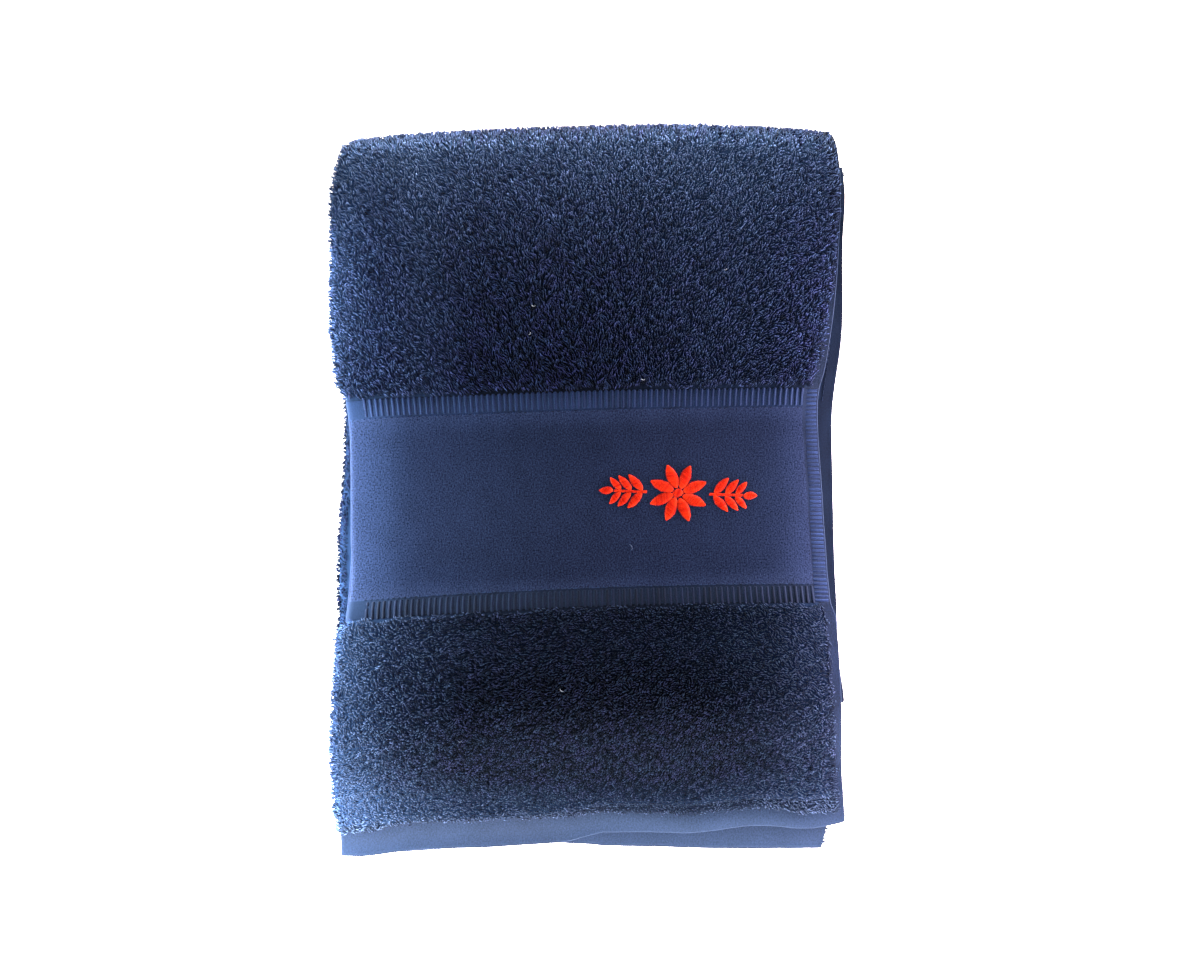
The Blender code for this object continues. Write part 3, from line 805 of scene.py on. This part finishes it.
def growPile(name, region):
    alongSpan, acrossSpan, face, density, shapeName, seed = region
    shape = loopShapes[shapeName]
    rng = np.random.default_rng(seed)
    gap = 10 / math.sqrt(density)
    rows, columns = (stops((*span, gap))[:-1] + gap / 2 for span in (alongSpan, acrossSpan))
    along, across = np.meshgrid(rows, columns, indexing="ij")
    across[::2] += gap / 2
    jitter = loopVariety["place"]
    along, across = ((places + rng.uniform(-jitter, jitter, places.shape) * gap).ravel()
                     for places in (along, across))
    # it leaves the hems and the band bare
    count, end = len(along), fromEnd(along)
    side = np.interp(along, bareSide["along"], bareSide["width"]) - pileEdges["overHem"] * rng.random(count)
    if shapeName == "plain":
        side = side + pileEdges["plainBare"]
    hem = np.interp(across, bareEnd["across"], bareEnd["width"]) - pileEdges["overHem"] * rng.random(count)
    wander = pileEdges["wander"] * softNoise(across, 0 * across, pileEdges["wanderSize"], 23)
    margin = pileEdges["margin"] + wander + rng.uniform(-pileEdges["scatter"], pileEdges["scatter"], count)
    looped = (end > hem) & (np.abs(across) < woven["halfWidth"] - side) & (bandDepth(end) < -margin)
    along, across = along[looped], across[looped]
    count = len(along)
    x, y = foldedPoint(along, across, 0).T[:2] * 1000
    heading = napHeading(x, y, rng)
    length = overPile(x, y, nap["x"], nap["lowerLength"], nap["upperLength"])
    lean = np.array(shape["lean"]) * (length * rng.uniform(*loopVariety["length"], count))[:, None]
    height = rng.uniform(*shape["uneven"], count)
    height[rng.random(count) < nap["stray"]] *= nap["strayHeight"]
    foot = thickness(along, woven["groundThick"])[:, None] / 2
    depth = face * (foot + np.array(shape["height"]) * height[:, None])
    radius = np.array(shape["yarn"]) * rng.uniform(*loopVariety["yarn"], (count, 1))
    tone = toneAt(x, y, rng)
    # painted light on the loops of the front, which also brings their tones nearer to one
    paintedLight = paintedLightAt(x, y) * ((along < path["upperEnd"]) & (across < folds["turnHalf"]))
    tone = np.clip(tone + (loopTones["paintedLitTone"] - tone) * loopTones["paintedLitPull"] * paintedLight, 0, 1)
    # a painted shade on the loops of the back
    tone = tone * np.where(along < path["upperEnd"], 1.0, loopTones["back"])
    look = "flapPile" if alongSpan == flap else "pile"
    lines = leanOver(along, across, lean, heading, depth)
    return layThreads(name, look, lines, radius, 3, tone, standing=True, paintedLight=paintedLight)


# Longer loops that stick out of the pile at the folds.
strays = {
    "count": 2600, "lean": (0.0, 0.7, 2.0), "height": (0.0, 1.6, 3.0), "yarn": (0.24, 0.21, 0.0),
    "uneven": (0.7, 1.25), "lightest": 0.6,
    "loose": ((357.0, -233.0), (358.5, -237.0)),  # along and across of two pulled ones
    "looseSize": 1.8, "seed": 31,
}


def makeStrays():
    rng = np.random.default_rng(strays["seed"])
    side = strays["count"] // 2
    top = strays["count"] - side
    along = np.concatenate([rng.uniform(woven["endHem"], path["lowerStart"], side),
                            rng.uniform(path["upperStart"], path["upperEnd"], top)])
    across = np.concatenate([rng.uniform(-turnSide, turnSide, side), rng.uniform(-pileSide, 0, top)])
    inTerry = bandDepth(fromEnd(along)) < 0
    along, across = np.concatenate([(along[inTerry], across[inTerry]), np.transpose(strays["loose"])], axis=1)
    x, y = foldedPoint(along, across, 0).T[:2] * 1000
    heading = napHeading(x, y, rng)
    size = rng.uniform(*strays["uneven"], (len(along), 1))
    size[-len(strays["loose"]):] = strays["looseSize"]
    depth = woven["groundThick"] / 2 + np.array(strays["height"]) * size
    lines = leanOver(along, across, np.array(strays["lean"]) * size, heading, depth)
    return layThreads("strayLoops", "pile", lines, strays["yarn"], 3,
                      strays["lightest"] * rng.random(len(along)), standing=True)


# The woven ribs: short ones along both borders of a band, pointing at the terry, and a column of
# closer ones beside each selvedge. Sizes in mm, shades and tones from dark to light, the border
# nearer the hem in painted shade and the column paled by painted light.
ribs = {
    "pitch": 2.95, "jitter": 0.12, "width": 1.8, "height": 0.03,
    "lift": 0.04,  # above the cloth, which is flat between its rows
    "overTerry": 0.3,
    "shades": (-0.1, 0.35),  # of the border nearer to the hem, darker as painted shade, and of the other one
    "tones": (0.1, 0.3), "columnPitch": 2.0, "columnRib": 1.3,
    "columnStart": 8.0,  # width of the column at the hem's end of the band
    "columnEnd": 6.2,  # and at its other end
    # the column's ribs take some painted light, a painted highlight along the selvedges
    "columnTones": (0.5, 0.85), "columnPaintedLight": 0.35, "rim": 0.7, "shownInside": 40.0,
    "plainLeft": 6.0,  # beside the left fold, where they are pressed flat
    "dash": 1.4,  # of the pale dashes between the ribs and the band
    "dashWidth": 0.45, "taper": (0.6, 1.0, 1.0, 1.0, 0.0), "ends": (-1.0, -0.93, 0.0, 0.93, 1.0),
    "seed": 41,
}


def barLines(along, across, halfAlong, halfAcross, depth):
    # straight bars round those places
    reach = np.array(ribs["ends"])
    along, across, depth = (values[:, None] for values in np.broadcast_arrays(along, across, depth))
    return np.stack([along + halfAlong * reach, across + halfAcross * reach, depth + 0 * reach], -1)


def makeBorders(rng):
    half, start, end, total = woven["halfWidth"], woven["bandStart"], woven["bandEnd"], path["total"]
    face = woven["bandThick"] / 2 + ribs["lift"]
    ribHalf = (woven["border"] - ribs["dashWidth"] * 2) / 2
    reach = half - ribs["columnStart"]
    across = np.arange(-reach + ribs["width"] / 2, reach, ribs["pitch"])
    across = across + rng.uniform(-ribs["jitter"], ribs["jitter"], across.shape)
    # the ribs of the border nearer the hem are darker, a painted shade
    nearHem, farther = ribs["shades"]
    lines, dashes, tone = [], [], []
    for line, inward, shade in ((start, 1, nearHem), (end, -1, farther), (total - end, 1, farther),
                                (total - start, -1, nearHem)):
        # what lies inside the folds has ribs at its edges only
        inFront = (line < total / 2) & (across < -folds["turnHalf"] - ribs["plainLeft"])
        shown = across[(np.abs(across) > half - ribs["shownInside"]) | inFront]
        lines.append(barLines(line + inward * (ribHalf - ribs["overTerry"]), shown, ribHalf, 0, face))
        dashes.append(barLines(line + inward * (woven["border"] - ribs["dashWidth"] / 2),
                               shown + ribs["pitch"] / 2, 0, ribs["dash"] / 2, face))
        tone.append(shade + rng.uniform(*ribs["tones"], len(shown)))
    return (np.concatenate(rows) for rows in (lines, dashes, tone))


def makeRibs():
    rng = np.random.default_rng(ribs["seed"])
    lines, dashes, tone = makeBorders(rng)
    halfRib, halfDash, halfColumn = (ribs[key] / 2 for key in ("width", "dashWidth", "columnRib"))
    taper = np.array(ribs["taper"])
    # the band's ribs take the painted highlight of their border
    made = [layThreads("bandRibs", "rib", lines, halfRib * taper, 5, tone, ribs["height"] / halfRib,
                       paintedLight=borderPaintedLight(lines[:, 0, 1])),
            layThreads("bandDashes", "rib", dashes, halfDash * taper, 4, rng.random(len(dashes)))]
    span = (woven["bandStart"], woven["bandEnd"])
    along = np.arange(span[0] + ribs["columnPitch"] / 2, span[1], ribs["columnPitch"])
    width = np.interp(along, span, (ribs["columnStart"], ribs["columnEnd"])) - ribs["rim"]
    place = woven["halfWidth"] - ribs["rim"] - width / 2
    columns = np.concatenate([barLines(along, side * place, 0, (width / 2)[:, None],
                                       woven["hemThick"] / 2 + ribs["lift"]) for side in (-1, 1)])
    # the column's ribs are paled by a painted highlight
    made.append(layThreads("selvedgeRibs", "rib", columns, halfColumn * taper, 5,
                           rng.uniform(*ribs["columnTones"], len(columns)), ribs["height"] / halfColumn,
                           paintedLight=ribs["columnPaintedLight"]))
    return made


# The rounded selvedges, the folded edges of both end hems and the turned-in edge above each hem,
# which the stitches draw into small waves. Sizes in mm, and tones for the front and the back, the
# back's darker as painted shade.
edges = {
    "halfWide": 0.8, "inset": 0.45, "tones": (0.45, 0.3),
    "turnIn": 0.3,  # radius
    "turnInFlat": 0.6, "turnInTones": (0.4, 0.3), "wave": 0.45, "waveLength": 4.6,
    "drift": 0.8,  # of the waves, as a share of them
    "driftSize": 9.0,
}


def pointed(radius, count):
    # that radius all along a yarn, and none at its end
    return np.append(np.full(count - 1, radius), 0.0)


def makeEdges():
    half, total, thick = woven["halfWidth"], path["total"], woven["hemThick"] / 2
    halfWide, inset = edges["halfWide"], edges["inset"]
    made = []
    for name, row, axis, low, high in (("selvedges", rowsAlong(), 0, -half, half),
                                       ("hemEdges", rowsAcross(), 1, 0, total)):
        lines = np.zeros((2, len(row), 3))
        lines[..., axis] = row
        lines[..., 1 - axis] = ((low + inset,), (high - inset,))
        made.append(layThreads(name, "edge", lines, pointed(halfWide, len(row)), 6, edges["tones"],
                               thick / halfWide))
    row = np.arange(woven["sideHem"] - half, half - woven["sideHem"], edges["waveLength"] / 4)
    wave = edges["wave"] * (np.sin(math.tau * row / edges["waveLength"])
                            + edges["drift"] * softNoise(row, 0 * row, edges["driftSize"], 45))
    lines = [np.stack([place + wave, row, thick + 0 * row], -1) for place, wave in
             ((woven["endHem"], wave), (total - woven["endHem"], -wave))]
    made.append(layThreads("hemTurns", "edge", np.array(lines), pointed(edges["turnIn"], len(row)), 4,
                           edges["turnInTones"], edges["turnInFlat"]))
    return made


# Lockstitch rows that hold the hems, in mm.
stitches = {"pitch": 3.1, "length": 2.3, "radius": 0.24, "fromPile": 0.5, "sunk": 0.4, "lightest": 0.5,
            "taper": (1.0, 1.0, 0.0), "seed": 51}


def makeStitches():
    rng = np.random.default_rng(stitches["seed"])
    half, total, halfLength = woven["halfWidth"], path["total"], stitches["length"] / 2
    depth = woven["hemThick"] / 2 + stitches["radius"] * stitches["sunk"]
    hemLine = woven["endHem"] - stitches["fromPile"]
    sideLine = half - woven["sideHem"] + stitches["fromPile"]
    across = np.arange(-sideLine, sideLine, stitches["pitch"])
    along = np.arange(hemLine, total - hemLine, stitches["pitch"])
    along = along[bandDepth(fromEnd(along)) < 0]
    rows = []
    for face in (-depth, depth):
        rows += [barLines(line, across, 0, halfLength, face) for line in (hemLine, total - hemLine)]
        rows += [barLines(along, line, halfLength, 0, face) for line in (-sideLine, sideLine)]
    lines = np.concatenate(rows)[:, (0, 2, 4)]
    return layThreads("hemStitches", "rib", lines, stitches["radius"] * np.array(stitches["taper"]), 3,
                      stitches["lightest"] * rng.random(len(lines)))


# Frayed ends at the corners: along, across, how many, how far they spread along the edge and how
# long they are, in mm.
frays = (
    (5.0, 250.0, 20, 4.0, 2.2),  # the flap's under half
    (1.5, -250.0, 5, 1.5, 1.6),  # the flap's corner
    (916.0, -250.0, 6, 2.0, 1.8),  # the tucked corner
)
frayed = {
    "depth": 0.6,  # mm to either side of the middle of the cloth
    "drift": 0.7 / 3,  # sideways, as a share of the length
    "length": (0.5, 1.1),
    "inside": 1.0,  # mm that is hidden in the cloth
    "yarn": (0.3, 0.28, 0.26, 0.2, 0.0), "seed": 61,
}
# Lint on the pile: x, y, heading in degrees and length in mm.
lintPlaces = (
    (-27.8, 85.7, -10, 2.2),
    (-29.2, 72.2, 60, 1.6),
    (25.4, 49.5, -5, 2.4),
    (-13.8, -99.3, -35, 2.6),
    (66.0, 104.0, 30, 1.8),
    (-74.0, 132.0, 75, 1.7),
    (-62.0, -122.0, 10, 1.8),
    (20.0, -30.7, 115, 3.6),
)
lint = {"bend": 0.9, "pile": 0.9, "lift": 0.25, "yarn": (0.06, 0.1, 0.11, 0.1, 0.08, 0.0)}


def makeFrays():
    rng = np.random.default_rng(frayed["seed"])
    steps = np.linspace(0, 1, len(frayed["yarn"]))[:, None]
    lines = []
    for along, across, count, spread, length in frays:
        outward = math.copysign(1.0, across)
        for _ in range(count):
            start = np.array([along + rng.uniform(-spread, spread), across - outward * frayed["inside"],
                              rng.uniform(-frayed["depth"], frayed["depth"])])
            drift = rng.uniform(-1, 1, 3) * length * frayed["drift"]
            reach = length * rng.uniform(*frayed["length"]) + frayed["inside"]
            lines.append(start + np.array([0, outward * reach, 0]) * steps + drift * steps ** 2)
    return layThreads("frayedEnds", "edge", np.array(lines), frayed["yarn"], 4, rng.random(len(lines)))


def makeLint():
    steps = np.linspace(-0.5, 0.5, len(lint["yarn"]))
    lines = []
    for x, y, heading, length in lintPlaces:
        angle = math.radians(heading) + lint["bend"] * steps
        along, across = clothAt(x + length * steps * np.cos(angle), y + length * steps * np.sin(angle))
        top = thickness(along, woven["terryThick"] + lint["pile"]) / 2 + lint["lift"]
        lines.append(np.stack([along, across, top], -1))
    return layThreads("lint", "lint", np.array(lines), lint["yarn"], 4, np.linspace(1, 0, len(lines)))


# The embroidered sprig: a flower between two leafy stems, in satin stitch. Sizes in mm, angles in
# degrees, and its own u to the right and v up.
sprig = {
    "centre": (42.6, -4.7), "turn": -2.0, "petals": 8,
    "petal": (12.0, 5.6),  # length and width
    "petalFrom": 2.6,
    "heart": 2.5,  # radius
    "stemFrom": 15.0, "stemTo": 31.5, "stemWidth": 1.3, "stemLoft": 0.6,
    "leaves": ((17.0, 10.0, 4.2), (22.5, 9.0, 3.9), (27.5, 7.6, 3.4)),  # where, length and width
    "leafAngle": 48.0, "leafFrom": 0.9, "bud": (6.5, 4.0), "budFrom": 0.3, "threadPitch": 0.46,
    "thread": 0.27,  # radius
    "threadTaper": (0.5, 0.9, 1.0, 1.0, 0.9, 0.0), "uneven": (0.95, 1.06),
    "loft": 0.95,  # how high the stitches arch
    "slant": 14.0, "seed": 71,
    "margin": 0.03,  # of a shape, without stitches at either end
    "leafPeak": 0.85, "leafRound": 0.7,  # a leaf is widest before its middle and blunt
    "narrowArch": 0.35,  # how high the narrowest stitches arch, beside the widest
    "archEnds": 1.02,  # a little over 1, so that they end steeply
    "tones": (0.25, 0.5, 0.25),  # of a shape's middle, what its ends add, and from stitch to stitch
}


def sprigShapes():
    # u and v of the foot, heading, length, width and the gap at the foot of each stitched shape
    step = 360 / sprig["petals"]
    shapes = [(0.0, 0.0, step * (k + 0.5), *sprig["petal"], sprig["petalFrom"])
              for k in range(sprig["petals"])]
    shapes.append((-sprig["heart"], 0.0, 0.0, 2 * sprig["heart"], 2 * sprig["heart"], 0.0))
    for side, way in ((0, 1), (180, -1)):
        stem = sprig["stemTo"] - sprig["stemFrom"]
        shapes.append((way * sprig["stemFrom"], 0.0, side, stem, sprig["stemWidth"], 0.0))
        shapes.append((way * sprig["stemTo"], 0.0, side, *sprig["bud"], sprig["budFrom"]))
        for place, length, width in sprig["leaves"]:
            for angle in (side - way * sprig["leafAngle"], side + way * sprig["leafAngle"]):
                shapes.append((way * place, 0.0, angle, length, width, sprig["leafFrom"]))
    return shapes


def makeSprig():
    rng = np.random.default_rng(sprig["seed"])
    spread = np.array((-1.0, -0.8, -0.35, 0.35, 0.8, 1.0))  # across a shape, along one stitch
    slant, narrow = math.tan(math.radians(sprig["slant"])), sprig["narrowArch"]
    middleTone, endTone, single = sprig["tones"]
    u, v, loft, tone = [], [], [], []
    for footU, footV, heading, length, width, gap in sprigShapes():
        places = np.linspace(sprig["margin"], 1 - sprig["margin"],
                             max(3, int(length / sprig["threadPitch"])))
        isStem = width == sprig["stemWidth"]
        # a stem is as wide all along, and the others are leaf-shaped
        leaf = np.sin(math.pi * places ** sprig["leafPeak"]) ** sprig["leafRound"]
        half = width / 2 * (np.ones_like(places) if isStem else leaf)
        half = half * rng.uniform(*sprig["uneven"], half.shape)
        aside = half[:, None] * spread
        ahead = (gap + places * length)[:, None] + slant * aside
        angle = math.radians(heading)
        u.append(footU + ahead * math.cos(angle) - aside * math.sin(angle))
        v.append(footV + ahead * math.sin(angle) + aside * math.cos(angle))
        # narrow stitches arch less, and the ends of all go down into the cloth
        share = narrow + (1 - narrow) * half / half.max()
        arch = sprig["loft"] * share[:, None] * np.sqrt(sprig["archEnds"] - spread ** 2)
        loft.append(arch * (sprig["stemLoft"] if isStem else 1.0))
        tone.append(middleTone + endTone * (2 * places - 1) ** 2 + rng.uniform(-single, single, len(places)))
    u, v, loft, tone = (np.concatenate(rows) for rows in (u, v, loft, tone))
    turn, (centreX, centreY) = math.radians(sprig["turn"]), sprig["centre"]
    x = centreX + u * math.cos(turn) - v * math.sin(turn)
    y = centreY + u * math.sin(turn) + v * math.cos(turn)
    along, across = (flat.reshape(x.shape) for flat in clothAt(x.ravel(), y.ravel()))
    lines = np.stack([along, across, woven["bandThick"] / 2 + loft], -1)
    return layThreads("sprig", "satin", lines, sprig["thread"] * np.array(sprig["threadTaper"]), 4,
                      np.clip(tone, 0, 1))


floorGap = 0.00005  # m, between the lowest loops and what the towel lies on
yarns = {name: yarnMaterial(look) for name, look in yarnLooks.items()}
towelCloth = makeCloth()
added = [growPile(name, region) for name, region in pileRegions.items()]
added += [makeStrays(), *makeRibs(), *makeEdges(), makeStitches(), makeFrays(), makeLint(), makeSprig()]
print("all added:", sum(len(piece.data.polygons) for piece in added) + 2 * len(towelCloth.data.polygons))
for piece in [towelCloth] + added:
    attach(piece, "root")
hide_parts("towel")


# The studio: a white light table with low white strips close round the towel, brightest at the
# left, and only weak light from above.
studio = {
    "floor": "#f4f4f4",
    "glow": 0.88,  # of the light table
    "surround": 0.10, "backdrop": 1.0,
    "stripHeight": 0.05,  # m
    "strips": {  # x and y in m, height of the middle, length, watts and colour
        "left": (-0.151, -0.08, 0.028, 0.40, 2.75, "#f2f8f8"),
        "right": (0.175, -0.06, 0.036, 0.34, 2.5, "#ffe6ea"),
        "back": (0.0, 0.240, 0.042, 0.30, 3.6, "#fff3e0"),
        "front": (0.0, -0.208, 0.030, 0.30, 2.1, "#fff0e2"),
    },
    "overhead": (0.4, 0.0, 1.6, 1.2, 21.0, "#fff2ea"),  # x, y, z, size in m, watts and colour
}


def addLight(name, place, aim, size, watts, colour):
    data = bpy.data.lights.new(name, "AREA")
    data.shape = "RECTANGLE"
    data.size, data.size_y = size
    data.energy = watts
    data.color = linear(colour)[:3]
    light = bpy.data.objects.new(name, data)
    light.location = place
    light.rotation_euler = (Vector(aim) - light.location).to_track_quat("-Z", "Y").to_euler()
    light.visible_camera = False
    bpy.context.collection.objects.link(light)


def makeStudio():
    bm = bmesh.new()
    bmesh.ops.create_grid(bm, x_segments=1, y_segments=1, size=3.0)
    mesh = bpy.data.meshes.new("floor")
    bm.to_mesh(mesh)
    bm.free()
    floor = bpy.data.objects.new("floor", mesh)
    bpy.context.collection.objects.link(floor)
    material, shader = newMaterial("matt white paper")
    shader.inputs["Base Color"].default_value = linear(studio["floor"])
    shader.inputs["Emission Color"].default_value = (1, 1, 1, 1)
    shader.inputs["Emission Strength"].default_value = studio["glow"]
    shader.inputs["Roughness"].default_value = 1.0
    shader.inputs["Specular IOR Level"].default_value = 0.0
    mesh.materials.append(material)
    world = bpy.data.worlds.new("surround")
    world.use_nodes = True
    seen = addNode(world, "ShaderNodeLightPath")
    strength = addNode(world, "ShaderNodeMapRange", {},
                       {"Value": seen.outputs["Is Camera Ray"], "To Min": studio["surround"],
                        "To Max": studio["backdrop"]})
    background = world.node_tree.nodes["Background"]
    background.inputs["Color"].default_value = (1, 1, 1, 1)
    world.node_tree.links.new(strength.outputs["Result"], background.inputs["Strength"])
    bpy.context.scene.world = world
    for name, (x, y, z, length, watts, colour) in studio["strips"].items():
        aim = (x, 0, z) if abs(y) > abs(x) else (0, y, z)
        addLight(name, (x, y, z), aim, (length, studio["stripHeight"]), watts, colour)
    x, y, z, size, watts, colour = studio["overhead"]
    addLight("overhead", (x, y, z), (0, 0, 0), (size, size), watts, colour)
    bpy.context.scene.view_settings.view_transform = "Standard"


# The camera looks down, tilted a little from the front.
view = {"target": (4.59, 2.17, 12.0), "tilt": 4.0, "distance": 607.6, "lens": 36.96, "sensor": 36.0}


def placeCamera():
    data = bpy.data.cameras.new("camera")
    data.lens, data.sensor_width = view["lens"], view["sensor"]
    camera = bpy.data.objects.new("camera", data)
    tilt = math.radians(view["tilt"])
    away = Vector((0, -math.sin(tilt), math.cos(tilt))) * view["distance"]
    camera.location = (Vector(view["target"]) + away) / 1000
    camera.rotation_euler = (tilt, 0, 0)
    bpy.context.collection.objects.link(camera)
    bpy.context.scene.camera = camera


makeStudio()
placeCamera()
